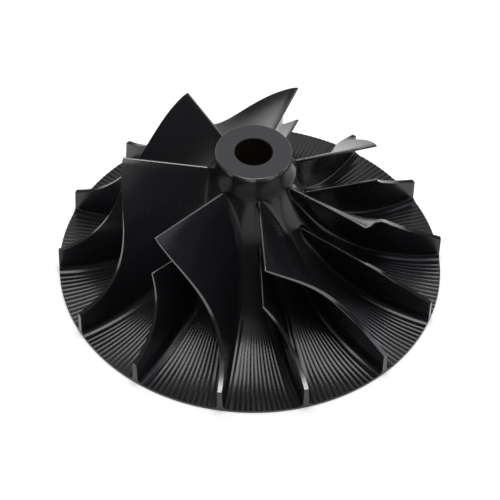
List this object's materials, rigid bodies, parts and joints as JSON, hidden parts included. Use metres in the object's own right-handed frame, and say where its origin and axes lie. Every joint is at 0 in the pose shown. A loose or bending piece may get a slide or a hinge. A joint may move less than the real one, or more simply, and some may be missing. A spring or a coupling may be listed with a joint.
{
  "type": "compressor wheel",
  "caption": "Centrifugal supercharger compressor wheel: flared hub with a bored nose on a thin back disc, with full and splitter blades curving out to the rim.",
  "frame": {"origin": "centre of the bore in the plane of the flat back face", "axes": "+Z along the bore axis from the back face towards the nose (against the incoming air); the first full blade meets the rim near +X"},
  "size_m": [0.134, 0.134, 0.056],
  "materials": {
    "milled_blade": "satin black hard anodising over flank-milled alloy",
    "milled_floor": "satin black hard anodising over alloy milled in fine curved passes",
    "turned_face": "fine-turned alloy, black anodised, slightly blue-grey"
  },
  "bodies": {
    "root": {"back_disc": "milled_floor", "hub_cone": "milled_floor", "nose_boss": "turned_face", "full_blade_1": "milled_blade", "full_blade_2": "milled_blade", "full_blade_3": "milled_blade", "full_blade_4": "milled_blade", "full_blade_5": "milled_blade", "full_blade_6": "milled_blade", "full_blade_7": "milled_blade", "splitter_blade_1": "milled_blade", "splitter_blade_2": "milled_blade", "splitter_blade_3": "milled_blade", "splitter_blade_4": "milled_blade", "splitter_blade_5": "milled_blade", "splitter_blade_6": "milled_blade", "splitter_blade_7": "milled_blade"}
  },
  "joints": []
}
